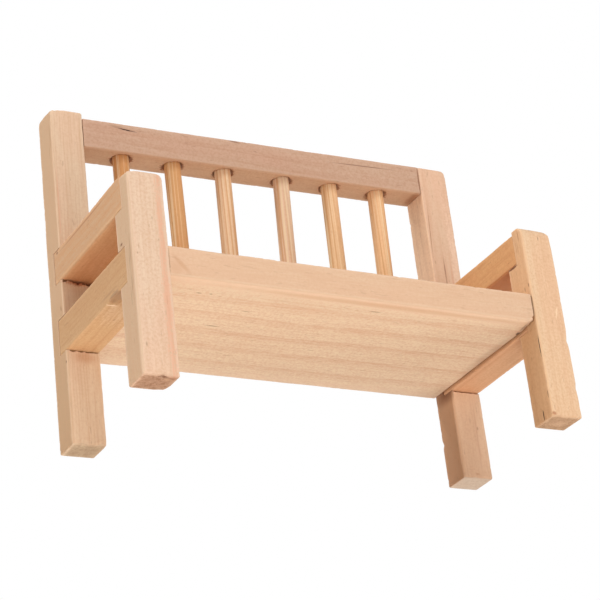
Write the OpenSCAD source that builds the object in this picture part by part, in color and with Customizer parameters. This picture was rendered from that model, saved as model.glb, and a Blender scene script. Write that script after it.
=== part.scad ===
// Dolls house garden bench in plain wood.
// Four square posts carry two arms, two side rails, a plank seat and a back of six round spindles.
// +X runs along the bench to a sitter's left, +Y to the back and +Z up.
// The origin is on the floor, below the middle.
// Left and right in the names of parts are as seen from in front, so left is -X.

/* [Overall] */
// Length of the bench over its posts
bench_length = 107; // [95:1:130]
// Depth of the bench over its posts
bench_depth = 45; // [40:1:60]
// Height of the rear posts
rear_post_height = 83.7; // [78:0.1:100]
// Height of the front posts
front_post_height = 47.9; // [45:0.1:55]

/* [Posts] */
// Width of each post along the bench
post_width = 8; // [6:0.1:10]
// Depth of each post from front to back
post_depth = 7.4; // [7:0.1:10]
// Radius on the sanded top front edge of the front posts
front_post_round = 2; // [0.5:0.1:2.5]
// Radius on the sanded top back edge of the rear posts
rear_post_round = 1; // [0.5:0.1:2]
// How far the arms and side rails are let into each post
housing_depth = 3.6; // [2:0.1:4]

/* [Arms and side rails] */
// Height of each arm
arm_height = 7.9; // [6:0.1:10]
// How far the arms stand below the tops of the front posts
arm_drop = 0.5; // [0:0.1:2]
// Height of the underside of the side rails above the floor
side_rail_base = 22.3; // [15:0.1:24]
// Height of each side rail
side_rail_height = 8.4; // [6:0.1:10]

/* [Seat] */
// Height of the seat's underside above the floor
seat_base = 23.1; // [16:0.1:25]
// Thickness of the seat board
seat_thickness = 7; // [6:0.1:8]

/* [Back] */
// Height of the back rail's section
back_rail_height = 7.6; // [6:0.1:10]
// How much lower the back rail's left end stands than its right end
back_rail_drop = 1.4; // [0:0.1:2]
// Diameter of each spindle
spindle_diameter = 4; // [3:0.1:4.5]
// Diameter of the holes in the back rail, which are a loose fit
rail_socket_diameter = 4.6; // [4.6:0.1:5]
// Spacing of the three spindles on each side of the middle
spindle_pitch = 13.3; // [8:0.1:14]
// Spacing of the two middle spindles
middle_pitch = 15.8; // [8:0.1:17]
// Depth of each hole in the back rail
rail_socket_depth = 4; // [2:0.1:5]
// Depth of each hole in the seat
seat_socket_depth = 3; // [2:0.1:4]

/* [Hidden] */
$fn = 48;
// Hair gap for glue on each side of a housed end
glue_gap = 0.05;
// Cutters run past the faces they open by this much
overcut = 1;
// The holes in the seat are this much wider than the spindles
seat_socket_play = 0.2;
// Number of spindles in the back, half on each side of the middle
spindle_count = 6;
// A spindle's ends stop this far short of the bottoms of its holes
end_play = 0.3;
// The row of spindles stands this far left of the middle
row_shift = -0.4;
// How far each spindle's foot stands to the right of its head
spindle_lean = [0, 0.5, -0.4, -1.1, -0.4, -0.8];

half_length = bench_length / 2;
half_depth = bench_depth / 2;
inner_x = half_length - post_width;
inner_y = half_depth - post_depth;
housed_y = inner_y + housing_depth;
arm_base = front_post_height - arm_drop - arm_height;
seat_top = seat_base + seat_thickness;
rail_base_right = rear_post_height - back_rail_height;
rail_base_left = rail_base_right - back_rail_drop;
clear_span = 2 * inner_x;
spindle_row_y = inner_y + post_depth / 2;
half_count = spindle_count / 2;

// Height of the back rail's underside at a place along the bench
function rail_base_at(x) = rail_base_left + back_rail_drop * (x + inner_x) / clear_span;

// Place of a spindle's head along the bench, counted from 0 at the left
function spindle_x(i) =
    i < half_count
        ? row_shift - middle_pitch / 2 - spindle_pitch * (half_count - 1 - i)
        : row_shift + middle_pitch / 2 + spindle_pitch * (i - half_count);

// Puts an outline drawn with Y across and Z up onto the bench, with a thickness along X from x_start
module along_x(x_start, thickness) {
    translate([x_start, 0, 0])
        rotate([90, 0, 90])
            linear_extrude(thickness)
                children();
}

// A post's side outline from the floor up, with one round top edge at the end that edge_y names
module post_outline(y_start, height, round_radius, edge_y) {
    inward = edge_y > y_start ? -1 : 1;
    difference() {
        translate([y_start, 0])
            square([post_depth, height]);
        difference() {
            translate([min(edge_y, edge_y + inward * round_radius), height - round_radius])
                square([round_radius, round_radius]);
            translate([edge_y + inward * round_radius, height - round_radius])
                circle(round_radius);
        }
    }
}

// The slot that a rail's end is let into, from a post's inner face at inner_y
module housing_outline(base, height) {
    translate([-housed_y - glue_gap, base - glue_gap])
        square([2 * (housed_y + glue_gap), height + 2 * glue_gap]);
}

module front_post(x_start) {
    along_x(x_start, post_width)
        difference() {
            post_outline(-half_depth, front_post_height, front_post_round, -half_depth);
            housing_outline(side_rail_base, side_rail_height);
            housing_outline(arm_base, arm_height + arm_drop + overcut);
        }
}

module rear_post(x_start) {
    along_x(x_start, post_width)
        difference() {
            post_outline(inner_y, rear_post_height, rear_post_round, half_depth);
            housing_outline(side_rail_base, side_rail_height);
            housing_outline(arm_base, arm_height);
        }
}

// An arm or side rail, as wide as the posts and let into one at each end
module side_member(x_start, base, height) {
    translate([x_start, -housed_y, base])
        cube([post_width, 2 * housed_y, height]);
}

// Puts children on a spindle's axis, with Z along it and the origin where it leaves the seat
module on_spindle_axis(i) {
    rise = rail_base_at(spindle_x(i)) - seat_top;
    translate([spindle_x(i) + spindle_lean[i], spindle_row_y, seat_top])
        rotate([0, atan2(-spindle_lean[i], rise), 0])
            children();
}

function spindle_run(i) = norm([spindle_lean[i], rail_base_at(spindle_x(i)) - seat_top]);

module spindle(i) {
    color("burlywood")
        on_spindle_axis(i)
            translate([0, 0, end_play - seat_socket_depth])
                cylinder(d = spindle_diameter,
                         h = spindle_run(i) + seat_socket_depth + rail_socket_depth - 2 * end_play);
}

module left_front_post() { color("bisque") front_post(-half_length); }
module right_front_post() { color("bisque") front_post(inner_x); }
module left_rear_post() { color("wheat") rear_post(-half_length); }
module right_rear_post() { color("peachpuff") rear_post(inner_x); }
module left_arm() { color("tan") side_member(-half_length, arm_base, arm_height); }
module right_arm() { color("tan") side_member(inner_x, arm_base, arm_height); }
module left_side_rail() { color("tan") side_member(-half_length, side_rail_base, side_rail_height); }
module right_side_rail() { color("tan") side_member(inner_x, side_rail_base, side_rail_height); }

module seat_board() {
    color("navajowhite")
        difference() {
            translate([glue_gap - inner_x, -half_depth, seat_base])
                cube([clear_span - 2 * glue_gap, bench_depth, seat_thickness]);
            for (i = [0 : spindle_count - 1])
                on_spindle_axis(i)
                    translate([0, 0, -seat_socket_depth])
                        cylinder(d = spindle_diameter + seat_socket_play, h = seat_socket_depth + overcut);
        }
}

module back_rail() {
    color("rosybrown")
        difference() {
            translate([0, half_depth, 0])
                rotate([90, 0, 0])
                    linear_extrude(post_depth)
                        polygon([
                            [glue_gap - inner_x, rail_base_left],
                            [inner_x - glue_gap, rail_base_right],
                            [inner_x - glue_gap, rail_base_right + back_rail_height],
                            [glue_gap - inner_x, rail_base_left + back_rail_height]
                        ]);
            for (i = [0 : spindle_count - 1])
                on_spindle_axis(i)
                    translate([0, 0, spindle_run(i) - overcut])
                        cylinder(d = rail_socket_diameter, h = rail_socket_depth + overcut);
        }
}

module spindle_1() { spindle(0); }
module spindle_2() { spindle(1); }
module spindle_3() { spindle(2); }
module spindle_4() { spindle(3); }
module spindle_5() { spindle(4); }
module spindle_6() { spindle(5); }

left_front_post();
right_front_post();
left_rear_post();
right_rear_post();
left_arm();
right_arm();
left_side_rail();
right_side_rail();
seat_board();
back_rail();
spindle_1();
spindle_2();
spindle_3();
spindle_4();
spindle_5();
spindle_6();
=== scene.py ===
import math

import bmesh
import bpy
import numpy as np
from mathutils import Matrix, Vector, noise


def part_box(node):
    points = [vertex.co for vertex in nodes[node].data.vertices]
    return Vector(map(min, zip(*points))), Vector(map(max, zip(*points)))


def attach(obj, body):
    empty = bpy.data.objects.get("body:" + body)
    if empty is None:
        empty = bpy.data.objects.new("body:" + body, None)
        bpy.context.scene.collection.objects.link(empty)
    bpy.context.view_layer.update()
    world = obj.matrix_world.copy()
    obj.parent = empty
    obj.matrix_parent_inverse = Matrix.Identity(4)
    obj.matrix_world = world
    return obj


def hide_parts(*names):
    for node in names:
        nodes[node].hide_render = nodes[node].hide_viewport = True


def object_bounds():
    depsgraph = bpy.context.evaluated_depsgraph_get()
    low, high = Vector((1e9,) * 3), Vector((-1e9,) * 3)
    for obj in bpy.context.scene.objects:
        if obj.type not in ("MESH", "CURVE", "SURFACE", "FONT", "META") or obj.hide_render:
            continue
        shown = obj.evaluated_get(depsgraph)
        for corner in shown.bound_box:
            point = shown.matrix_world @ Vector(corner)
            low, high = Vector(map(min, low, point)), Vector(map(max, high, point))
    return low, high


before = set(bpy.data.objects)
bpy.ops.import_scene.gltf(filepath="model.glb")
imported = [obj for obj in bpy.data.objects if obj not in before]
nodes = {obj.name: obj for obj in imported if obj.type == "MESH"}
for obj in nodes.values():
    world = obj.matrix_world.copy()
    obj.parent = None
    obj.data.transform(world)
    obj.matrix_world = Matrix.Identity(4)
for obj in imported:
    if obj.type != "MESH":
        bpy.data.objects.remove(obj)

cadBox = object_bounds()
mm = 0.001
print("frame loaded:", len(nodes), "CAD nodes")


def boxOf(node):  # in millimetres
    low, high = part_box(node)
    return np.array(low) / mm, np.array(high) / mm


class Wire:  # a shader socket that can be used in sums
    def __init__(self, tree, socket=None):
        self.tree = tree
        self.socket = socket

    def node(self, kind, settings=None, values=None, out=0):
        made = self.tree.nodes.new(kind)
        for name, value in (settings or {}).items():
            setattr(made, name, value)
        for name, value in (values or {}).items():
            if isinstance(value, Wire):
                self.tree.links.new(value.socket, made.inputs[name])
            else:
                made.inputs[name].default_value = value
        return Wire(self.tree, made.outputs[out] if len(made.outputs) else None)

    def output(self, out):  # another output of the same node
        return Wire(self.tree, self.socket.node.outputs[out])

    def calc(self, operation, left, right=0.0):
        return self.node("ShaderNodeMath", {"operation": operation}, {0: left, 1: right})

    def __add__(self, right):
        return self.calc("ADD", self, right)

    def __sub__(self, right):
        return self.calc("SUBTRACT", self, right)

    def __rsub__(self, left):
        return self.calc("SUBTRACT", left, self)

    def __mul__(self, right):
        return self.calc("MULTIPLY", self, right)

    def __truediv__(self, right):
        return self.calc("DIVIDE", self, right)

    __radd__ = __add__
    __rmul__ = __mul__

    def clamped(self):
        return self.node("ShaderNodeClamp", {}, {"Value": self})

    def between(self, low, high):  # 0 below low, 1 above high, a smooth slope between
        limits = {"Value": self, "From Min": low, "From Max": high}
        return self.node("ShaderNodeMapRange", {"interpolation_type": "SMOOTHSTEP"}, limits)

    def vectorCalc(self, operation, left, right, out=0):
        return self.node("ShaderNodeVectorMath", {"operation": operation}, {0: left, 1: right}, out)

    def blend(self, first, second, share):  # two colours mixed
        return self.node("ShaderNodeMix", {"data_type": "RGBA"}, {0: share, 6: first, 7: second}, out=2)


def rgb(red, green, blue):  # screen values, 0 to 255, as the linear colour that a shader takes
    return tuple(((v / 255 + 0.055) / 1.055) ** 2.4 for v in (red, green, blue)) + (1.0,)


def shade(colour, red, green, blue):  # the same colour with each channel scaled
    return (colour[0] * red, colour[1] * green, colour[2] * blue, 1.0)


stain = rgb(112, 66, 42)
soot = rgb(58, 34, 24)


def mark(at, half, strength, colour=stain, turn=0.0, core=0.25, ragged=0.85):
    # a soft stain, streak or knot, or a patch of painted light or shade: its middle, its half sizes, and a
    # turn about the Y axis in degrees
    return dict(at=at, half=half, strength=strength, colour=colour, turn=turn, core=core, ragged=ragged)


plainWood = {
    "heart": (60.0, -40.0),  # where the middle of the tree lies, in mm across the grain
    "ringGap": 2.4,
    "ringShade": 0.25,
    "lateFrom": 0.3,  # where in each ring its darker late wood begins
    "ringBreak": 0.5,  # how patchy the rings are
    "ringFray": 0.3,  # how far fine fibres break them up
    "lineGap": 0.8,  # thin growth lines between the rings
    "lineShade": 0.12,
    "wander": 2.0,
    "slope": 0.01,
    "ripple": 0.3,
    "fibre": 1.5,  # fibres per mm across the grain
    "fibreShade": 0.22,
    "speckle": 1.7,  # specks per mm
    "speckleShade": 0.4,
    "fleckFrom": 0.7,
    "fleckShade": 0.28,
    "blushShade": 0.6,
    "endShade": 1.0,
    "endBlotch": 0.45,
    "wornShade": 0.35,
    "relief": 0.5,
    "lateTint": (0.80, 0.64, 0.54),
    "blushTint": (1.0, 0.88, 0.87),
    "fleckTint": (0.45, 0.30, 0.24),
    "endTint": (0.90, 0.84, 0.82),
    "poreTint": (0.74, 0.64, 0.58),
    "wornTint": (1.10, 1.10, 1.12),
}


def woodFinish(name, look):
    look = {**plainWood, **look}
    material = bpy.data.materials.new(name)
    material.use_nodes = True
    tree = material.node_tree
    tree.nodes.clear()
    start = Wire(tree)
    place = start.node("ShaderNodeTexCoord").output("Object")
    inMm = start.node("ShaderNodeVectorMath", {"operation": "SCALE"}, {0: place, "Scale": 1 / mm})
    x = start.node("ShaderNodeSeparateXYZ", {}, {0: inMm})
    axes = [x, x.output(1), x.output(2)]
    grain, seed = look["grain"], look["seed"]
    along = axes[grain]
    across, up = [axes[i] for i in range(3) if i != grain]

    def grainNoise(alongScale, acrossScale, shift, detail=2.0):
        # noise drawn out along the grain; both scales are in cycles per mm
        where = start.node(
            "ShaderNodeCombineXYZ",
            {},
            {
                0: along * alongScale + (seed + shift),
                1: across * acrossScale + (seed * 1.7 + shift),
                2: up * acrossScale - seed,
            },
        )
        return start.node("ShaderNodeTexNoise", {}, {"Vector": where, "Scale": 1.0, "Detail": detail})

    # long fibres in two sizes, short dark flecks, and the sandy speckle of the cut cells
    coarse = grainNoise(0.05, look["fibre"], 13, 3.0)
    fine = grainNoise(0.22, look["fibre"] * 2.6, 17, 3.0)
    flecks = grainNoise(0.4, 2.2, 23, 1.0).between(look["fleckFrom"], look["fleckFrom"] + 0.06)
    mottle = grainNoise(0.035, 0.16, 29)
    speckle = start.node(
        "ShaderNodeTexNoise", {}, {"Vector": inMm, "Scale": look["speckle"], "Detail": 3.0, "Roughness": 0.6}
    )
    blotch = start.node(
        "ShaderNodeTexNoise", {}, {"Vector": inMm, "Scale": 0.6, "Detail": 3.0, "Roughness": 0.7}
    )

    # growth rings: the distance from the heart, which wanders along the board
    wander = grainNoise(0.02, 0.03, 0, 1.0) - 0.5
    ripple = grainNoise(0.09, 0.35, 5) - 0.5
    offAcross = across - look["heart"][0] + wander * look["wander"]
    offUp = up - look["heart"][1] + along * look["slope"]
    away = start.calc("SQRT", offAcross * offAcross + offUp * offUp) + ripple * look["ripple"]
    turn = start.calc("FRACT", away / look["ringGap"])
    lateWood = turn.between(look["lateFrom"], 0.85) * (1 - turn.between(0.9, 1.0))
    patches = grainNoise(0.05, 0.4, 9).between(0.42, 0.62)
    fray = fine.between(0.36, 0.6) * look["ringFray"] + (1 - look["ringFray"])
    rings = lateWood * (patches * look["ringBreak"] + (1 - look["ringBreak"])) * fray
    lineTurn = start.calc("FRACT", (away + ripple * 0.8) / look["lineGap"])
    lines = lineTurn.between(0.5, 0.75) * (1 - lineTurn.between(0.85, 1.0)) * coarse.between(0.42, 0.56)

    facing = start.node("ShaderNodeNewGeometry").output("Normal")
    grainWay = tuple(float(i == grain) for i in range(3))
    turned = start.vectorCalc("DOT_PRODUCT", facing, grainWay, "Value")
    endMask = start.calc("ABSOLUTE", turned).between(0.55, 0.9)
    arris = start.node("ShaderNodeAttribute", {"attribute_name": "arris"}).output("Fac")

    def laidMark(colour, spot):
        # lays one soft mark over a colour, ragged along its edge
        apart = start.vectorCalc("SUBTRACT", inMm, spot["at"])
        if spot["turn"]:
            apart = start.node(
                "ShaderNodeVectorRotate",
                {"rotation_type": "Y_AXIS"},
                {"Vector": apart, "Angle": math.radians(spot["turn"])},
            )
        scaled = start.vectorCalc("DIVIDE", apart, spot["half"])
        reach = start.vectorCalc("LENGTH", scaled, (0, 0, 0), "Value")
        ragged = reach + (fine - 0.5) * spot["ragged"] + (speckle - 0.5) * spot["ragged"]
        share = (1 - ragged.between(spot["core"], 1.0)) * spot["strength"]
        return start.blend(colour, spot["colour"], share)

    pale = look["colour"]
    late, fleck = shade(pale, *look["lateTint"]), shade(pale, *look["fleckTint"])
    blush = shade(pale, *look["blushTint"])
    colour = start.blend(pale, blush, mottle.between(0.35, 0.7) * look["blushShade"])
    # zones recolour whole faces: the wood's own tone, and on some faces painted shade and painted light
    for zone in look.get("zones", []):
        colour = laidMark(colour, zone)
    colour = start.blend(colour, late, rings * look["ringShade"])
    colour = start.blend(colour, late, lines * look["lineShade"])
    colour = start.blend(colour, late, coarse.between(0.4, 0.75) * look["fibreShade"])
    colour = start.blend(colour, late, fine.between(0.45, 0.8) * look["fibreShade"])
    colour = start.blend(colour, late, speckle.between(0.38, 0.68) * look["speckleShade"])
    colour = start.blend(colour, fleck, flecks * look["fleckShade"])
    if "stripe" in look:  # broad lengthwise bands, as split bamboo has
        bands = grainNoise(0.004, look["stripe"], 31, 1.0)
        colour = start.blend(colour, look["stripeDark"], bands.between(0.5, 0.64) * look["stripeShade"])
        paleBands = (1 - bands.between(0.34, 0.46)) * look["stripeShade"]
        colour = start.blend(colour, look["stripePale"], paleBands)

    # end grain is duller and shows its open pores; arrises are painted paler, partly sanding wear and partly
    # painted highlight
    endPale = shade(pale, *look["endTint"])
    pores = shade(endPale, *look["poreTint"])
    if "footTint" in look:  # the foot of a post, paler than its top
        footPale = shade(pale, *look["footTint"])
        isFoot = 1 - along.between(8, 12)
        endPale = start.blend(endPale, footPale, isFoot)
        pores = start.blend(pores, shade(footPale, *look["poreTint"]), isFoot)
    ends = start.blend(endPale, pores, speckle.between(0.4, 0.62) * 0.35 + rings * 0.25)
    ends = start.blend(ends, pores, blotch.between(0.46, 0.62) * look["endBlotch"])
    colour = start.blend(colour, ends, endMask * look["endShade"])
    colour = start.blend(colour, shade(pale, *look["wornTint"]), arris * look["wornShade"])

    for spot in look.get("marks", []):
        colour = laidMark(colour, spot)

    raised = coarse * 0.45 + fine * 0.5 + speckle * (endMask * 1.4 + 0.6)
    height = raised - flecks * 0.5 - (rings + lines) * 0.2
    relief = {"Strength": look["relief"], "Distance": 0.1 * mm, "Height": height}
    bump = start.node("ShaderNodeBump", {}, relief)
    shader = start.node(
        "ShaderNodeBsdfPrincipled",
        {},
        {
            "Base Color": colour,
            "Roughness": (fine * 0.18 + endMask * 0.14 - arris * 0.06 + 0.62).clamped(),
            "Normal": bump,
            "IOR": 1.45,
            "Specular IOR Level": 0.3,
        },
    )
    start.node("ShaderNodeOutputMaterial", {}, {0: shader})
    return material


def sectionRing(low, high, radii, counts, arcSteps=4):
    # a rounded rectangle: its points, their outward directions and how far each is from an arris
    turns = [(high[0], low[1], -90), (high[0], high[1], 0), (low[0], high[1], 90), (low[0], low[1], 180)]
    centres = []
    for (u, v, _), radius in zip(turns, radii):
        centres.append(np.array([u - math.copysign(radius, u - low[0] - 1e-9), v]))
        centres[-1][1] -= math.copysign(radius, v - low[1] - 1e-9)
    points, outward, gaps = [], [], []
    for k in range(4):
        face = math.radians(turns[k][2])
        way = np.array([math.cos(face), math.sin(face)])
        first = centres[k - 1] + way * radii[k - 1]
        last = centres[k] + way * radii[k]
        length = np.linalg.norm(last - first)
        for i in range(counts[(k + 1) % 2]):
            share = i / counts[(k + 1) % 2]
            points.append(first + (last - first) * share)
            outward.append(way)
            gaps.append(min(share, 1 - share) * length)
        for j in range(arcSteps):
            angle = face + math.pi / 2 * j / arcSteps
            way = np.array([math.cos(angle), math.sin(angle)])
            points.append(centres[k] + way * radii[k])
            outward.append(way)
            gaps.append(0.0)
    return np.array(points), np.array(outward), np.array(gaps)


def endInset(radius, gap):  # how far a rounded end edge has drawn in, at a distance from the end
    if radius <= 0 or gap >= radius:
        return 0.0
    return radius - math.sqrt(max(radius * radius - (radius - gap) ** 2, 0.0))


def stationsFor(shape, start, end):
    # where the rings of points lie along a bar: closer at rounded ends, cuts and torn spots
    near = [0.0, 0.02, 0.08, 0.2, 0.4, 0.7, 1.0]
    startRound, endRound = max(shape["startRound"]), max(shape["endRound"])
    places = [start + startRound * t for t in near] + [end - endRound * t for t in near]
    inner = max(8, int((end - start) / shape["step"]))
    places += list(np.linspace(start + startRound, end - endRound, inner))
    for tear in shape["tears"]:
        places += list(tear["at"] - np.linspace(0.05, tear["reach"], 8))
    hair = 0.008
    for notch in shape["notches"]:
        for cut in (notch["from"], notch["to"]):
            if cut < end:
                places = [s for s in places if abs(s - cut) > hair * 3] + [cut - hair, cut + hair]
    kept = []
    for s in sorted(places):
        if not kept or s - kept[-1] > 0.004:
            kept.append(float(s))
    return kept


plainBar = {
    "step": 0.65,
    "edge": 0.3,
    "hollow": 0.06,  # how far sanding has dished the faces
    "rough": 0.02,
    "sawn": 0.07,
    "startRound": (0.3, 0.3, 0.3, 0.3),
    "endRound": (0.3, 0.3, 0.3, 0.3),
    "tilt": 0.0,
    "notches": [],
    "tears": [],
    "chips": [],
}


arrisWidth = 0.16  # how far the paler wear and painted highlight reach from an arris, in mm
cutEdge = 0.05  # how round the edges of a housing are
sharpAngle = math.radians(38)  # faces that meet more sharply than this show an edge


def barMesh(name, shape):
    # a sawn and sanded bar, drawn as rings of points along its length
    shape = {**plainBar, **shape}
    axis, seed, low, high = shape["axis"], shape["seed"], shape["low"], shape["high"]
    others = [i for i in range(3) if i != axis]
    start, end = low[axis], high[axis]
    counts = [max(4, int((high[i] - low[i]) / shape["step"])) for i in others]
    rings, nearArris = [], []
    for s in stationsFor(shape, start, end):
        lean = shape["tilt"] * (s - (start + end) / 2)
        insets = [
            endInset(a, s - start) + endInset(b, end - s)
            for a, b in zip(shape["startRound"], shape["endRound"])
        ]
        lowUV = low[others] + np.array([insets[0], insets[2] + lean])
        highUV = high[others] - np.array([insets[1], insets[3] - lean])
        radii = []
        for k in range(4):
            wave = noise.noise(Vector((s * 0.13 + seed, k * 7.3, seed * 3)))
            nick = max(0.0, noise.noise(Vector((s * 0.9 + seed, k * 3.1 + 50, seed))) - 0.2)
            radii.append(shape["edge"] * (1 + 0.45 * wave + 1.6 * nick))
        for notch in shape["notches"]:
            if notch["from"] < s < notch["to"]:
                if "floorLow" in notch:
                    lowUV[1] = notch["floorLow"]
                    radii[0] = radii[3] = cutEdge
                else:
                    highUV[1] = notch["floorHigh"]
                    radii[1] = radii[2] = cutEdge
        points, outward, gaps = sectionRing(lowUV, highUV, radii, counts)
        ring = np.zeros((len(points), 3))
        ring[:, axis] = s
        ring[:, others] = points
        for i, p in enumerate(ring):
            slow = noise.noise(Vector(p * 0.11 + seed)) * 0.5 + 0.5
            quick = noise.noise(Vector((p[axis] * 0.5, p[others[0]] * 2.1, p[others[1]] * 2.1 + seed)))
            ring[i, others] -= outward[i] * (shape["hollow"] * slow + shape["rough"] * (quick * 0.5 + 0.5))
        rings.append(ring)
        nearArris.append(np.exp(-np.minimum(gaps, min(s - start, end - s)) / arrisWidth))
    # the sawn ends close with smaller and smaller rings
    capSteps = 8
    for isEnd in (False, True):
        rim = rings[-1] if isEnd else rings[0]
        centre = rim.mean(axis=0)
        for k in range(1, capSteps):
            inner = centre + (rim - centre) * (1 - k / capSteps)
            for p in inner:
                saw = noise.noise(Vector((p[others[0]] * 1.3 + seed, p[others[1]] * 3.3, seed))) * 0.5 + 0.5
                p[axis] += (-1 if isEnd else 1) * shape["sawn"] * saw
            rings = rings + [inner] if isEnd else [inner] + rings
            fade = np.full(len(inner), math.exp(-k * 2.0))
            nearArris = nearArris + [fade] if isEnd else [fade] + nearArris
    count = len(rings[0])
    points = np.concatenate(rings + [rings[0].mean(axis=0)[None], rings[-1].mean(axis=0)[None]])
    arris = np.concatenate(nearArris + [np.zeros(2)])
    for tear in shape["tears"]:
        # fibres torn out of the face below a cut, deepest at the cut
        for p in points:
            below = tear["at"] - p[axis]
            isFace = abs(p[1] - tear["face"]) < 0.35 and tear["span"][0] < p[0] < tear["span"][1]
            if isFace and -0.02 < below < tear["reach"]:
                jag = noise.noise(Vector((p[0] * 2.6, seed, tear["at"]))) * 0.9 + 0.55
                left = 1 - below / (tear["reach"] * min(max(jag, 0.08), 1.0))
                if left > 0:
                    p[1] += tear["depth"] * left
    for chip in shape["chips"]:
        far = np.linalg.norm(points - np.array(chip["at"]), axis=1) / chip["size"]
        pull = np.clip(1 - far, 0, 1) * chip["depth"]
        ragged = np.array([noise.noise(Vector(p * 1.9 + seed)) * 0.6 + 0.8 for p in points])
        points = points + np.outer(pull * ragged, np.array(chip["towards"]))
    faces = []
    for a in range(len(rings) - 1):
        for i in range(count):
            j = (i + 1) % count
            faces.append((a * count + i, a * count + j, (a + 1) * count + j, (a + 1) * count + i))
    top = (len(rings) - 1) * count
    for i in range(count):
        j = (i + 1) % count
        faces.append((len(points) - 2, j, i))
        faces.append((len(points) - 1, top + i, top + j))
    return finishMesh(name, points, faces, arris)


def finishMesh(name, points, faces, arris):
    mesh = bpy.data.meshes.new(name)
    mesh.from_pydata((points * mm).tolist(), [], faces)
    mesh.attributes.new("arris", "FLOAT", "POINT").data.foreach_set("value", arris.astype(np.float32))
    made = bmesh.new()
    made.from_mesh(mesh)
    bmesh.ops.recalc_face_normals(made, faces=made.faces)
    made.to_mesh(mesh)
    made.free()
    mesh.polygons.foreach_set("use_smooth", [True] * len(mesh.polygons))
    mesh.set_sharp_from_angle(angle=sharpAngle)
    piece = bpy.data.objects.new(name, mesh)
    bpy.context.scene.collection.objects.link(piece)
    return piece


def standFor(piece, node, look):
    # gives a piece its finish, and puts it in the place of a CAD node
    piece.data.materials.clear()
    piece.data.materials.append(woodFinish(node + "_finish", look))
    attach(piece, "root")
    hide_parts(node)


# the camera looks up at the bench from the front left, from below the seat
cameraPlan = {
    "azimuth": -30.4,
    "elevation": -25.3,
    "roll": -6.95,
    "distance": 484.3,
    "lens": 127.3,
    "lift": -6.5,
    "back": 3.6,
}


def addCamera(plan):
    low, high = (np.array(c) / mm for c in cadBox)
    aim = (low + high) / 2 + np.array([0, plan["back"], plan["lift"]])
    turn, rise = math.radians(plan["azimuth"]), math.radians(plan["elevation"])
    away = np.array([math.sin(turn) * math.cos(rise), -math.cos(turn) * math.cos(rise), math.sin(rise)])
    data = bpy.data.cameras.new("view_camera")
    data.lens = plan["lens"]
    data.sensor_width = 36
    data.clip_start = 0.01
    camera = bpy.data.objects.new("view_camera", data)
    camera.location = Vector((aim + away * plan["distance"]) * mm)
    facing = Vector(-away).to_track_quat("-Z", "Y").to_matrix()
    camera.rotation_euler = (facing @ Matrix.Rotation(math.radians(plan["roll"]), 3, "Z")).to_euler()
    bpy.context.scene.collection.objects.link(camera)
    bpy.context.scene.camera = camera


addCamera(cameraPlan)
print("camera placed")

pinkBand = rgb(222, 156, 124)
greyStreak = rgb(150, 112, 86)
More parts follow.
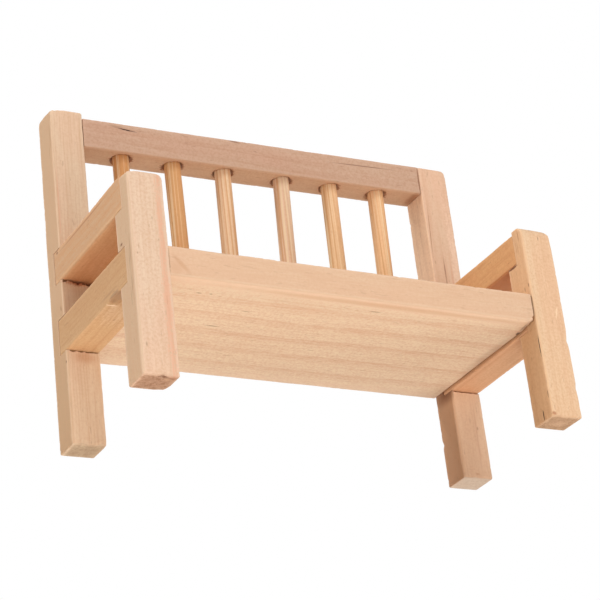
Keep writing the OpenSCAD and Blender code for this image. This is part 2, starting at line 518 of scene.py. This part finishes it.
# each post: the look of its wood, how its top is worn, and what is chipped or torn
postPlans = {
    "left_front_post": {
        "side": "left",
        "seed": 1.3,
        "endRound": (1.2, 2.0, 1.25, 0.3),
        "startRound": (0.35, 0.35, 0.35, 0.4),
        "wider": 0.3,
        "lower": 0.5,
        "chips": [
            {"at": (-45.5, -15.1, 0), "size": 2.4, "depth": 0.7, "towards": (-0.8, -0.5, 0.3)},
            {"at": (-53.5, -22.5, 47.4), "size": 3.0, "depth": 0.7, "towards": (0.6, 0.3, -0.7)},
            {"at": (-48.8, -22.3, 0), "size": 1.3, "depth": 0.5, "towards": (0, 0.4, 1)},
            {"at": (-47.2, -20.6, 0), "size": 1.0, "depth": 0.35, "towards": (0, 0, 1)},
        ],
        "look": {
            "colour": rgb(227, 198, 171),
            "heart": (-62, -30),
            "ringGap": 3.1,
            "ringShade": 0.15,
            "seed": 3.1,
            "endTint": (0.95, 0.90, 0.88),
            "endBlotch": 0.95,
            # painted shade: the outer face is painted darker, as shade on that side
            "zones": [mark((-53.5, -18.8, 24), (0.7, 12, 60), 0.9, rgb(207, 175, 141), core=0.6, ragged=0.3)],
            "marks": [
                mark((-46.5, -22.5, 20), (1.05, 2.0, 40), 0.5, pinkBand, core=0.2, ragged=2.2),
                mark((-48.7, -21.7, 0), (1.5, 0.5, 0.6), 0.75, rgb(128, 84, 60), ragged=1.2),
                mark((-47.4, -20.6, 0), (1.1, 0.7, 0.6), 0.55, rgb(232, 200, 168), ragged=1.2),
                mark((-52.1, -22.5, 6.7), (0.3, 0.6, 0.8), 0.5, greyStreak),
                mark((-48.4, -22.5, 36.1), (0.25, 0.6, 0.5), 0.35, greyStreak),
                mark((-47.3, -22.5, 31.1), (0.25, 0.6, 0.4), 0.35, greyStreak),
                mark((-52.4, -22.5, 27.4), (0.25, 0.6, 0.4), 0.45, greyStreak),
                mark((-53.5, -21.2, 28.5), (0.8, 0.2, 4.2), 0.6, greyStreak),
                mark((-53.5, -20.6, 26.5), (0.8, 0.16, 3.4), 0.6, greyStreak),
                mark((-53.5, -20.9, 20.5), (0.8, 0.25, 3.2), 0.5, greyStreak),
                mark((-53.5, -20.2, 18.5), (0.8, 0.2, 3.0), 0.4, greyStreak),
                mark((-53.5, -17.3, 31.7), (0.6, 0.7, 0.45), 0.85),
                mark((-53.5, -17.5, 40.2), (0.6, 0.6, 0.4), 0.8),
            ],
        },
    },
    "right_front_post": {
        "side": "right",
        "seed": 4.1,
        "endRound": (0.4, 2.2, 2.4, 0.3),
        "startRound": (0.35, 0.4, 0.35, 0.35),
        "chips": [
            {"at": (53.5, -20.5, 46.5), "size": 4.2, "depth": 0.6, "towards": (-1, 0, -0.3)},
            {"at": (53.5, -22.5, 19.5), "size": 2.0, "depth": 0.45, "towards": (-1, 0.5, 0)},
            {"at": (53.5, -22.5, 7.0), "size": 1.5, "depth": 0.25, "towards": (-1, 0.4, 0)},
        ],
        "look": {
            "colour": rgb(231, 197, 161),
            "heart": (70, -40),
            "ringGap": 2.6,
            "ringShade": 0.15,
            "seed": 8.3,
            "footTint": (0.90, 0.94, 1.0),
            "endBlotch": 0.6,
            # painted shade: the inner face is painted darker and more orange
            "zones": [mark((45.5, -18.8, 24), (0.7, 12, 60), 0.8, rgb(224, 181, 136), core=0.6, ragged=0.3)],
            "marks": [
                mark((46.1, -22.5, 0.7), (0.75, 0.9, 0.6), 0.7, rgb(176, 108, 70)),
                mark((49.7, -18.6, 0), (3.0, 2.2, 0.5), 0.5, rgb(238, 210, 182)),
                mark((50.0, -22.5, 44.9), (0.22, 0.8, 0.9), 0.5),
                mark((45.5, -22.05, 17.4), (0.5, 0.15, 3.0), 1.0, soot, core=0.5, ragged=0.7),
                mark((45.5, -22.05, 5.6), (0.5, 0.15, 1.2), 0.8, soot, core=0.5),
                mark((45.5, -19.2, 1.4), (0.5, 0.2, 1.5), 0.95, soot, core=0.6, ragged=0.5),
                mark((45.5, -21.0, 45.6), (0.5, 0.2, 1.9), 0.65, rgb(150, 92, 60)),
                mark((45.5, -20.2, 43.0), (0.5, 0.16, 2.2), 0.4, rgb(150, 92, 60)),
                mark((45.5, -17.0, 39.2), (0.7, 2.4, 0.32), 0.9, core=0.5),
                mark((45.5, -20.3, 32.2), (0.5, 0.2, 0.8), 0.6),
                mark((45.5, -21.9, 32.6), (0.5, 0.25, 0.8), 0.7),
                mark((51.6, -22.5, 26), (0.35, 0.8, 2.5), 0.5, rgb(250, 222, 186), turn=-14),
            ],
        },
    },
    "left_rear_post": {
        "side": "left",
        "seed": 7.7,
        "step": 0.45,
        "endRound": (0.6, 0.5, 0.35, 1.6),
        "startRound": (0.45, 0.5, 0.55, 0.6),
        "chips": [
            {"at": (-53.5, 15.1, 83.7), "size": 3.4, "depth": 0.6, "towards": (0.4, 0.3, -1)},
            {"at": (-51.5, 15.1, 0), "size": 1.6, "depth": 0.35, "towards": (0, 0.5, 1)},
            {"at": (-46.5, 15.1, 0), "size": 1.4, "depth": 0.4, "towards": (-0.3, 0.5, 1)},
        ],
        "tears": {
            "arm": {"reach": 1.1, "depth": 1.7, "inset": 0.35},
            "side_rail": {"reach": 0.4, "depth": 0.9, "inset": 1.2},
        },
        "look": {
            "colour": rgb(229, 201, 171),
            "heart": (-20, 12),
            "ringGap": 3.4,
            "ringShade": 0.2,
            "lineGap": 0.7,
            "lineShade": 0.34,
            "speckleShade": 0.25,
            "seed": 12.7,
            "footTint": (0.95, 1.02, 1.06),
            "zones": [
                # painted shade: the outer face is painted darker, most of all towards the foot
                mark((-53.5, 18.8, 42), (0.7, 12, 90), 0.9, rgb(202, 166, 131), core=0.6, ragged=0.3),
                mark((-53.5, 18.8, 12), (0.7, 12, 26), 0.6, rgb(193, 157, 119), core=0.6, ragged=0.3),
            ],
            "marks": [
                mark((-53.5, 16.2, 76), (0.7, 0.2, 4.5), 0.4, rgb(150, 104, 70)),
                mark((-53.5, 17.0, 73), (0.7, 0.16, 3.0), 0.35, rgb(150, 104, 70)),
                mark((-52.9, 15.1, 59.5), (0.3, 0.8, 12), 0.4, pinkBand),
                mark((-49.5, 15.1, 39.2), (4.6, 3.0, 1.3), 0.8, rgb(176, 98, 56), core=0.4),
                mark((-49.2, 15.1, 20.8), (3.6, 1.5, 2.0), 0.45, rgb(190, 128, 88)),
                mark((-53.5, 15.6, 19.5), (0.8, 0.35, 0.5), 0.8),
                mark((-53.5, 16.6, 32.8), (0.8, 0.3, 0.9), 0.7),
            ],
        },
    },
    "right_rear_post": {
        "side": "right",
        "seed": 9.9,
        "edge": 0.35,
        "endRound": (0.3, 1.0, 0.3, 1.4),
        "startRound": (0.4, 0.5, 0.5, 0.4),
        "chips": [
            {"at": (45.5, 22.5, 10.8), "size": 1.0, "depth": 0.4, "towards": (0.6, -0.8, 0)},
            {"at": (53.5, 15.1, 83.7), "size": 2.2, "depth": 0.3, "towards": (-0.9, 0.2, -0.4)},
            {"at": (48.2, 15.1, 0), "size": 1.5, "depth": 0.35, "towards": (0, 0.5, 1)},
        ],
        "tears": {"side_rail": {"reach": 0.35, "depth": 0.7, "inset": 0.5}},
        "look": {
            "colour": rgb(231, 196, 166),
            "heart": (57, 40),
            "ringGap": 1.9,
            "ringShade": 0.15,
            "fibreShade": 0.12,
            "speckleShade": 0.2,
            "wornShade": 0.15,
            "seed": 17.9,
            "footTint": (1.0, 1.22, 1.46),
            "endBlotch": 0.3,
            "poreTint": (0.84, 0.78, 0.74),
            "zones": [
                # painted light on the inner face above the seat
                mark((45.5, 19, 55), (0.35, 12, 38), 0.95, rgb(255, 218, 184), core=0.5, ragged=0.2),
                # painted shade on the inner face below the seat
                mark((45.5, 19, 8), (0.8, 12, 19), 0.7, rgb(196, 150, 112), core=0.7, ragged=0.3),
                mark((52.4, 15.1, 55), (1.7, 0.8, 26), 0.55, rgb(252, 218, 192)),
                mark((50, 15.1, 9), (12, 0.8, 18), 0.6, rgb(244, 210, 178), core=0.7, ragged=0.3),
            ],
            "marks": [
                mark((46.35, 15.1, 65), (0.2, 0.8, 9.5), 0.6, rgb(168, 108, 78), turn=-2),
                mark((49.05, 15.1, 54.4), (0.28, 0.8, 6), 0.6, rgb(160, 104, 84)),
                mark((51.0, 15.1, 50), (0.5, 0.8, 14), 0.35, pinkBand),
                mark((49.5, 15.1, 14.8), (0.4, 0.6, 1.2), 0.2, rgb(168, 108, 84)),
                mark((50.9, 15.1, 11.0), (0.3, 0.6, 12), 0.25, rgb(190, 126, 96), turn=-1),
                mark((51.3, 15.1, 12.9), (0.35, 0.6, 0.6), 0.4, rgb(160, 96, 74)),
                mark((49.3, 15.1, 1.1), (0.9, 0.8, 0.35), 0.35, rgb(190, 120, 84)),
                # painted shade on the inner face, under the side rail
                mark((45.5, 17.5, 22.3), (0.9, 7.5, 3.4), 0.7, rgb(122, 72, 46), core=0.1, ragged=0.2),
            ],
        },
    },
}
jointGap = 0.06  # how much wider than the rails their housings are cut


def buildPost(name, plan):
    low, high = boxOf(name)
    high += np.array([plan.get("wider", 0), 0, -plan.get("lower", 0)])
    isFront = "front" in name
    notches, tears = [], []
    for rail in ("arm", "side_rail"):
        railLow, railHigh = boxOf(f"{plan['side']}_{rail}")
        notch = {"from": railLow[2] - jointGap, "to": railHigh[2] + jointGap}
        if isFront:
            notch["floorHigh"] = railLow[1] - jointGap / 2
            if rail == "arm":
                notch["to"] = high[2] + jointGap  # open at the top, where the arm was dropped in
        else:
            notch["floorLow"] = railHigh[1] + jointGap / 2
        notches.append(notch)
        if rail in plan.get("tears", {}):
            tear = plan["tears"][rail]
            span = (low[0] + tear["inset"], high[0] - 0.05)
            tears.append({**tear, "at": notch["from"] - 0.004, "face": low[1], "span": span})
    shape = {key: value for key, value in plan.items() if key in plainBar}
    shape.update(axis=2, seed=plan["seed"], low=low, high=high, notches=notches, tears=tears)
    piece = barMesh(name + "_wood", shape)
    standFor(piece, name, {"grain": 2, **plan["look"]})


for name, plan in postPlans.items():
    buildPost(name, plan)
print("posts built")

railPlans = {
    "left_arm": {
        "seed": 21.0,
        "look": {
            "colour": rgb(226, 178, 132),
            "heart": (-49, 60),
            "ringGap": 2.3,
            "seed": 23.0,
            "fibreShade": 0.3,
            # painted shade: the outer face is painted darker
            "zones": [mark((-53.5, 0, 43), (0.7, 60, 12), 0.9, rgb(203, 167, 132), core=0.6, ragged=0.3)],
            "marks": [
                mark((-53.5, 16.6, 46.7), (0.8, 0.6, 0.5), 0.7),
                mark((-53.5, 1, 46.3), (0.8, 17, 0.32), 0.65, rgb(178, 118, 80), core=0.4, ragged=0.4),
            ],
        },
    },
    "right_arm": {
        "seed": 25.0,
        "edge": 0.35,
        "lower": 0.35,
        "look": {
            "colour": rgb(219, 172, 121),
            "heart": (49, 70),
            "ringGap": 2.8,
            "seed": 27.0,
            # painted shade on the arm's underside
            "zones": [mark((49.5, 0, 39.3), (12, 60, 0.9), 0.9, rgb(196, 136, 100), core=0.6, ragged=0.3)],
        },
    },
    "left_side_rail": {
        "seed": 31.0,
        "step": 0.45,
        "pared": {"from": -8.0, "to": -15.3, "slope": 0.7, "width": 3.2, "depth": 0.8},
        "look": {
            "colour": rgb(210, 171, 127),
            "heart": (-80, 20),
            "ringGap": 2.2,
            "seed": 33.0,
            "fibreShade": 0.35,
            "zones": [
                # painted shade: the outer face is painted darker
                mark((-53.5, 0, 27), (0.7, 60, 12), 0.9, rgb(205, 164, 122), core=0.6, ragged=0.3),
                mark((-49.0, -6, 22.3), (6, 10, 0.8), 0.5, rgb(226, 194, 158)),
            ],
            "marks": [
                # painted shade in the pared scoop
                mark((-52.2, -11.6, 22.7), (2.0, 3.9, 0.9), 0.65, rgb(168, 134, 104), core=0.75, ragged=0.3),
                # painted highlight along the step where the scoop begins
                mark((-52.2, -7.5, 22.3), (1.8, 0.3, 0.8), 0.7, rgb(252, 228, 196), ragged=0.4),
                mark((-53.5, -9, 24), (0.8, 6, 0.5), 0.25, greyStreak),
            ],
        },
    },
    "right_side_rail": {
        "seed": 35.0,
        "edge": 0.35,
        "look": {"colour": rgb(222, 176, 136), "heart": (90, 0), "ringGap": 2.6, "seed": 37.0},
    },
}


def pareCorner(piece, low, cut):
    # a shallow scoop under the outer edge: it starts with a step and dies away at the front post
    for vert in piece.data.vertices:
        x, y, z = vert.co / mm
        length = min((cut["from"] - y) / cut["slope"], (y - cut["to"]) / (cut["from"] - cut["to"]) * 1.6, 1)
        inward = (x - low[0]) / cut["width"]
        reach = 2 * cut["depth"]
        height = z - low[2]
        if length > 0 and inward < 1 and height < reach:
            across = 0.35 + 0.65 * math.sin(math.pi * inward)
            vert.co.z += cut["depth"] * length * across * (1 - height / reach) * mm


def buildRail(name, plan):
    low, high = boxOf(name)
    shape = {key: value for key, value in plan.items() if key in plainBar}
    high[2] -= plan.get("lower", 0)  # sanded a little below the posts
    shape.update(axis=1, seed=plan["seed"], low=low, high=high)
    piece = barMesh(name + "_wood", shape)
    if "pared" in plan:
        pareCorner(piece, low, plan["pared"])
    standFor(piece, name, {"grain": 1, **plan["look"]})


for name, plan in railPlans.items():
    buildRail(name, plan)
print("arms and side rails built")

spindleNames = [name for name in nodes if name.startswith("spindle_")]


def spindleAxis(name):  # the middles of a spindle's foot and head
    points = np.array([v.co for v in nodes[name].data.vertices]) / mm
    height = points[:, 2]
    foot = points[height < height.min() + 1.0].mean(axis=0)
    head = points[height > height.max() - 1.0].mean(axis=0)
    way = (head - foot) / (head - foot)[2]
    return foot + way * (height.min() - foot[2]), head + way * (height.max() - head[2])


def socketCutter(name, holes, bottom, top):
    # a slightly worn round hole on a spindle's own axis
    foot, head = spindleAxis(name)
    way = (head - foot) / (head - foot)[2]
    steps = 48
    points = []
    for level in (bottom, top):
        middle = foot + way * (level - foot[2])
        for i in range(steps):
            angle = 2 * math.pi * i / steps
            side = np.array([math.cos(angle), math.sin(angle), 0])
            wobble = noise.noise(Vector((side[0] * 1.6, side[1] * 1.6, foot[0])))
            points.append(middle + side * holes["radius"] * (1 + holes["wobble"] * (wobble + 0.5)))
    faces = [(i, (i + 1) % steps, steps + (i + 1) % steps, steps + i) for i in range(steps)]
    faces += [tuple(range(steps))[::-1], tuple(range(steps, 2 * steps))]
    return finishMesh("cutter", np.array(points), faces, np.zeros(2 * steps))


def cutSockets(piece, cutters):
    for cutter in cutters:
        change = piece.modifiers.new("socket", "BOOLEAN")
        change.object = cutter
        change.operation = "DIFFERENCE"
        change.solver = "EXACT"
    bpy.context.view_layer.update()
    ready = piece.evaluated_get(bpy.context.evaluated_depsgraph_get())
    mesh = bpy.data.meshes.new_from_object(ready)
    piece.modifiers.clear()
    piece.data = mesh
    for cutter in cutters:
        bpy.data.objects.remove(cutter)


seatPlan = {
    "seed": 41.0,
    "edge": 0.4,
    "step": 0.75,
    "startRound": (0.2, 0.2, 0.2, 0.2),
    "endRound": (0.35, 0.2, 0.35, 0.3),
    "endPlay": 0.15,
    "chips": [{"at": (45.5, -22.5, 23.1), "size": 2.6, "depth": 0.9, "towards": (-0.5, 0.4, 0.7)}],
    "holes": {"radius": 2.12, "wobble": 0.03},
    "look": {
        "colour": rgb(223, 192, 163),
        "heart": (82, 19),
        "ringGap": 7.6,
        "ringShade": 0.62,
        "ringBreak": 0.35,
        "lateFrom": 0.45,
        "lateTint": (0.86, 0.70, 0.64),
        "ringFray": 0.7,
        "lineGap": 1.3,
        "lineShade": 0.22,
        "wornShade": 0.55,
        "zones": [
            mark((0, 0, 22.6), (300, 120, 1.2), 0.9, rgb(230, 206, 175), core=0.7, ragged=0.3),
            # painted shade: the underside is painted darker towards the front edge
            mark((-22, -24, 22.6), (100, 19, 0.95), 0.9, rgb(202, 176, 146), core=0.1, ragged=0.2),
        ],
        "fleckFrom": 0.66,
        "wander": 5.0,
        "slope": 0.05,
        "fibreShade": 0.15,
        "speckleShade": 0.5,
        "seed": 43.0,
        "marks": [
            mark((0, -22.5, 26.6), (300, 0.35, 12), 0.45, rgb(225, 187, 152), core=0.6, ragged=0.5),
            mark((-42.5, -22.5, 26.0), (3.8, 1.2, 0.8), 0.4, rgb(196, 142, 104), turn=-47, ragged=0.3),
            mark((-43.9, -22.5, 24.9), (2.2, 1.2, 2.4), 0.4, rgb(208, 160, 126), ragged=0.3),
            # painted shadow in the gap between the seat's left end and the left front post
            mark((-45.4, -22.5, 26.6), (0.45, 1.5, 4.5), 0.45, rgb(150, 108, 84)),
            mark((12, -20.6, 23.1), (60, 1.5, 0.5), 0.45, rgb(196, 148, 110), ragged=0.8),
            mark((-35.9, -16.2, 23.1), (0.9, 0.25, 0.6), 0.8),
            mark((-33.2, -16.4, 23.1), (0.7, 0.25, 0.6), 0.7),
            mark((-22, -10.5, 23.1), (1.6, 0.25, 0.6), 0.45),
            mark((-26, -2.0, 23.1), (2.5, 0.35, 0.6), 0.45),
            mark((6, -17.5, 23.1), (2.0, 0.35, 0.6), 0.5),
            # painted shade on the underside beside the right side rail
            mark((45.2, -4, 23.0), (3.0, 16, 1.0), 0.35, rgb(150, 108, 80)),
            mark((45.35, -22.4, 27.3), (0.26, 0.8, 4.4), 0.9, soot, core=0.5, ragged=1.8),
            mark((45.2, -15.6, 23.1), (0.9, 1.0, 0.8), 0.9, soot, core=0.5, ragged=0.5),
            mark((44.6, -19.0, 23.1), (0.7, 3.5, 0.8), 0.5),
        ],
    },
}


def buildSeat(plan):
    low, high = boxOf("seat_board")
    shape = {key: value for key, value in plan.items() if key in plainBar}
    shape.update(axis=0, seed=plan["seed"], low=low, high=high - np.array([plan["endPlay"], 0, 0]))
    piece = barMesh("seat_board_wood", shape)
    cutters = []
    for name in spindleNames:
        bottom = boxOf(name)[0][2] - 0.3
        cutters.append(socketCutter(name, plan["holes"], bottom, high[2] + 1))
    cutSockets(piece, cutters)
    standFor(piece, "seat_board", {"grain": 0, **plan["look"]})


buildSeat(seatPlan)
print("seat built")

backRailPlan = {
    "seed": 51.0,
    "startRound": (0.15, 0.15, 0.15, 0.15),
    "endRound": (0.08, 0.08, 0.08, 0.08),
    "holes": {"radius": 2.48, "wobble": 0.08},
    "socketStain": 0.7,  # the brown stain round each hole, with painted shade of the gap round each spindle's head
    "stainSize": (2.85, 2.75, 0.9),
    "stainColour": rgb(140, 76, 36),
    "look": {
        "colour": rgb(206, 171, 146),
        "heart": (30, 120),
        "ringGap": 2.7,
        "ringShade": 0.25,
        "seed": 53.0,
        "zones": [
            # painted shade on the rail's underside, above the seat
            mark((0, 18.8, 75.1), (200, 60, 0.75), 0.8, rgb(204, 166, 130), turn=0.88, core=0.6, ragged=0.3)
        ],
        "fibreShade": 0.17,
        "speckleShade": 0.42,
        "marks": [
            mark((-34.7, 15.1, 81.0), (3.4, 1.2, 0.26), 0.95, soot, turn=-5),
            mark((-37.0, 15.1, 81.5), (2.6, 1.2, 0.45), 0.35, greyStreak, turn=-3),
            mark((-6.0, 15.1, 82.5), (2.2, 1.0, 0.28), 0.6, turn=-4),
            mark((28.7, 15.1, 81.4), (11.0, 1.0, 0.22), 0.6, turn=2),
            mark((45.3, 15.1, 79.6), (0.35, 2.0, 4.6), 0.7, rgb(140, 90, 62), core=0.5),
            # painted shade in the corner under the rail, at the right rear post
            mark((44.6, 18.5, 76.1), (1.8, 4.5, 1.0), 0.55, rgb(140, 84, 54)),
        ],
    },
}


def buildBackRail(plan):
    low, high = boxOf("back_rail")
    points = np.array([v.co for v in nodes["back_rail"].data.vertices]) / mm
    rise = high[2] - points[points[:, 0] < low[0] + 0.1][:, 2].max()
    halfRise = np.array([0, 0, rise / 2])
    shape = {key: value for key, value in plan.items() if key in plainBar}
    shape.update(axis=0, seed=plan["seed"], tilt=rise / (high[0] - low[0]))
    shape.update(low=low + halfRise, high=high - halfRise)
    piece = barMesh("back_rail_wood", shape)
    cutters = []
    look = {"grain": 0, **plan["look"]}
    for name in spindleNames:
        top = boxOf(name)[1][2] + 0.3
        cutters.append(socketCutter(name, plan["holes"], low[2] - 2, top))
        head = spindleAxis(name)[1]
        rim = low[2] + rise * (head[0] - low[0]) / (high[0] - low[0])
        middle = (head[0] + 0.1, head[1], rim)
        # a brown stain with painted shade round the head of each spindle
        spot = mark(middle, plan["stainSize"], plan["socketStain"], plan["stainColour"], core=0.85)
        look["marks"] = look["marks"] + [spot]
    cutSockets(piece, cutters)
    standFor(piece, "back_rail", look)


buildBackRail(backRailPlan)
print("back rail built")

spindlePlan = {
    "radius": 1.99,
    "sides": 40,
    "step": 0.8,
    "uneven": 0.07,
    "look": {
        "fibre": 1.6,
        "fibreShade": 0.35,
        "ringShade": 0.0,
        "speckleShade": 0.2,
        "stripe": 1.9,
        "stripeShade": 0.6,
        "stripeDark": rgb(216, 156, 100),
        "stripePale": rgb(250, 224, 184),
    },
    # each spindle's tone, partly its own and partly painted light and shade: the first two, nearest the left
    # post and arm, are coloured darker as shade
    "colours": {
        "spindle_1": rgb(220, 164, 108),
        "spindle_2": rgb(230, 178, 124),
        "spindle_3": rgb(246, 210, 172),
        "spindle_4": rgb(238, 204, 172),
        "spindle_5": rgb(248, 208, 162),
        "spindle_6": rgb(250, 206, 158),
    },
}


def buildSpindle(name, plan, seed):
    foot, head = spindleAxis(name)
    sides = plan["sides"]
    rows = int((head[2] - foot[2]) / plan["step"])
    rings = []
    for row in range(rows + 1):
        share = row / rows
        middle = foot + (head - foot) * share
        drawnIn = endInset(0.4, min(share, 1 - share) * rows * plan["step"])
        ring = []
        for i in range(sides):
            angle = 2 * math.pi * i / sides
            side = np.array([math.cos(angle), math.sin(angle), 0])
            flat = noise.noise(Vector((side[0] * 1.4, side[1] * 1.4, middle[2] * 0.05 + seed))) * 0.5 + 0.5
            ring.append(middle + side * (plan["radius"] - drawnIn - plan["uneven"] * flat))
        rings.append(ring)
    points = np.concatenate([np.array(r) for r in rings] + [foot[None], head[None]])
    faces = []
    for a in range(rows):
        for i in range(sides):
            j = (i + 1) % sides
            faces.append((a * sides + i, a * sides + j, (a + 1) * sides + j, (a + 1) * sides + i))
    for i in range(sides):
        j = (i + 1) % sides
        faces.append((len(points) - 2, j, i))
        faces.append((len(points) - 1, rows * sides + i, rows * sides + j))
    piece = finishMesh(name + "_wood", points, faces, np.zeros(len(points)))
    look = {"grain": 2, "seed": seed, "colour": plan["colours"][name], **plan["look"]}
    standFor(piece, name, look)


for order, name in enumerate(spindleNames):
    buildSpindle(name, spindlePlan, 60.0 + order * 3.7)
print("spindles built")

tornPlan = {
    "node": "left_rear_post",
    "rail": "left_arm",
    "count": 17,
    "seed": 5,
    "rootDepth": 1.25,  # how far below the arm they are rooted in the post
    "tall": 0.7,
    "thick": 0.15,
}


def buildTornFibres(plan):
    # splinters that stand up in the torn gap under the left arm, where the housing was cut
    low, high = boxOf(plan["node"])
    underArm = boxOf(plan["rail"])[0][2]
    chance = np.random.default_rng(plan["seed"])
    points, faces = [], []
    for i in range(plan["count"]):
        pick = chance.random(4)
        foot = np.array([low[0] + 0.6 + (high[0] - low[0] - 0.9) * (i + pick[0]) / plan["count"], 0, 0])
        foot[1] = low[1] + 0.35 + 0.8 * pick[1]
        foot[2] = underArm - plan["rootDepth"]
        tip = foot + np.array([(pick[2] - 0.5) * 0.7, 0.1, 0.55 + plan["tall"] * pick[3]])
        first = len(points)
        for share in (0.0, 0.3, 0.6, 0.85):
            middle = foot + (tip - foot) * share + np.array([0.08 * math.sin(share * 3 + i), 0, 0])
            wide = plan["thick"] * (1 - share * 0.85)
            for k in range(5):
                angle = 2 * math.pi * k / 5 + i
                points.append(middle + np.array([math.cos(angle) * wide, math.sin(angle) * wide * 0.5, 0]))
        points.append(tip)
        for ring in range(3):
            for k in range(5):
                a, b = first + ring * 5 + k, first + ring * 5 + (k + 1) % 5
                faces.append((a, b, b + 5, a + 5))
        for k in range(5):
            faces.append((first + 15 + k, first + 15 + (k + 1) % 5, first + 20))
        faces.append(tuple(first + k for k in range(5))[::-1])
    piece = finishMesh("left_arm_torn_fibres", np.array(points), faces, np.zeros(len(points)))
    look = {"grain": 2, "seed": 71.0, "colour": rgb(206, 158, 118), "fibre": 3.0}
    piece.data.materials.append(woodFinish("torn_fibre_finish", look))
    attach(piece, "root")


buildTornFibres(tornPlan)
print("torn fibres added")

# soft boxes round the bench; each direction is where the lamp stands
stagePlan = {"floorSize": 6.0, "floorDrop": 0.3, "floorColour": rgb(238, 236, 233), "around": 0.25}
lampPlans = {
    "front_low_softbox": {"azimuth": 0, "elevation": -45, "power": 2.4},
    "under_softbox": {"azimuth": 0, "elevation": -85, "power": 1.5},
    "left_high_softbox": {"azimuth": -90, "elevation": 45, "power": 4.7},
    "front_high_softbox": {"azimuth": 0, "elevation": 45, "power": 3.6},
    "top_softbox": {"azimuth": 0, "elevation": 85, "power": 0.8},
    "right_low_softbox": {"azimuth": 60, "elevation": -30, "power": 1.6},
    "back_softbox": {"azimuth": 180, "elevation": 30, "power": 1.0},
}
lampAway = 0.9
lampSize = 0.6


def addStage(plan):
    # the floor is pale from above, and lets light and sight through from below
    half = plan["floorSize"] / 2
    mesh = bpy.data.meshes.new("floor")
    corners = [(-half, -half), (half, -half), (half, half), (-half, half)]
    mesh.from_pydata([(x, y, -plan["floorDrop"] * mm) for x, y in corners], [], [(0, 1, 2, 3)])
    floor = bpy.data.objects.new("floor", mesh)
    bpy.context.scene.collection.objects.link(floor)
    floor.visible_shadow = False
    material = bpy.data.materials.new("floor_paper")
    material.use_nodes = True
    material.node_tree.nodes.clear()
    start = Wire(material.node_tree)
    paper = start.node("ShaderNodeBsdfDiffuse", {}, {"Color": plan["floorColour"]})
    clear = start.node("ShaderNodeBsdfTransparent")
    below = start.node("ShaderNodeNewGeometry").output("Backfacing")
    oneWay = start.node("ShaderNodeMixShader", {}, {0: below, 1: paper, 2: clear})
    start.node("ShaderNodeOutputMaterial", {}, {0: oneWay})
    floor.data.materials.append(material)
    # white behind the bench, and a dimmer even light all round it
    world = bpy.data.worlds.new("studio")
    bpy.context.scene.world = world
    world.use_nodes = True
    world.node_tree.nodes.clear()
    start = Wire(world.node_tree)
    seen = start.node("ShaderNodeLightPath").output("Is Camera Ray")
    strength = seen * (1 - plan["around"]) + plan["around"]
    light = start.node("ShaderNodeBackground", {}, {"Color": (1, 1, 1, 1), "Strength": strength})
    start.node("ShaderNodeOutputWorld", {}, {0: light})


def addLamp(name, plan):
    low, high = cadBox
    turn, rise = math.radians(plan["azimuth"]), math.radians(plan["elevation"])
    away = Vector((math.sin(turn) * math.cos(rise), -math.cos(turn) * math.cos(rise), math.sin(rise)))
    data = bpy.data.lights.new(name, "AREA")
    data.shape = "DISK"
    data.size = lampSize
    data.energy = plan["power"]
    lamp = bpy.data.objects.new(name, data)
    lamp.location = (low + high) / 2 + away * lampAway
    lamp.rotation_euler = away.to_track_quat("Z", "Y").to_euler()
    lamp.visible_camera = False
    bpy.context.scene.collection.objects.link(lamp)


addStage(stagePlan)
for name, plan in lampPlans.items():
    addLamp(name, plan)
bpy.context.scene.view_settings.view_transform = "Standard"
print("stage lit")
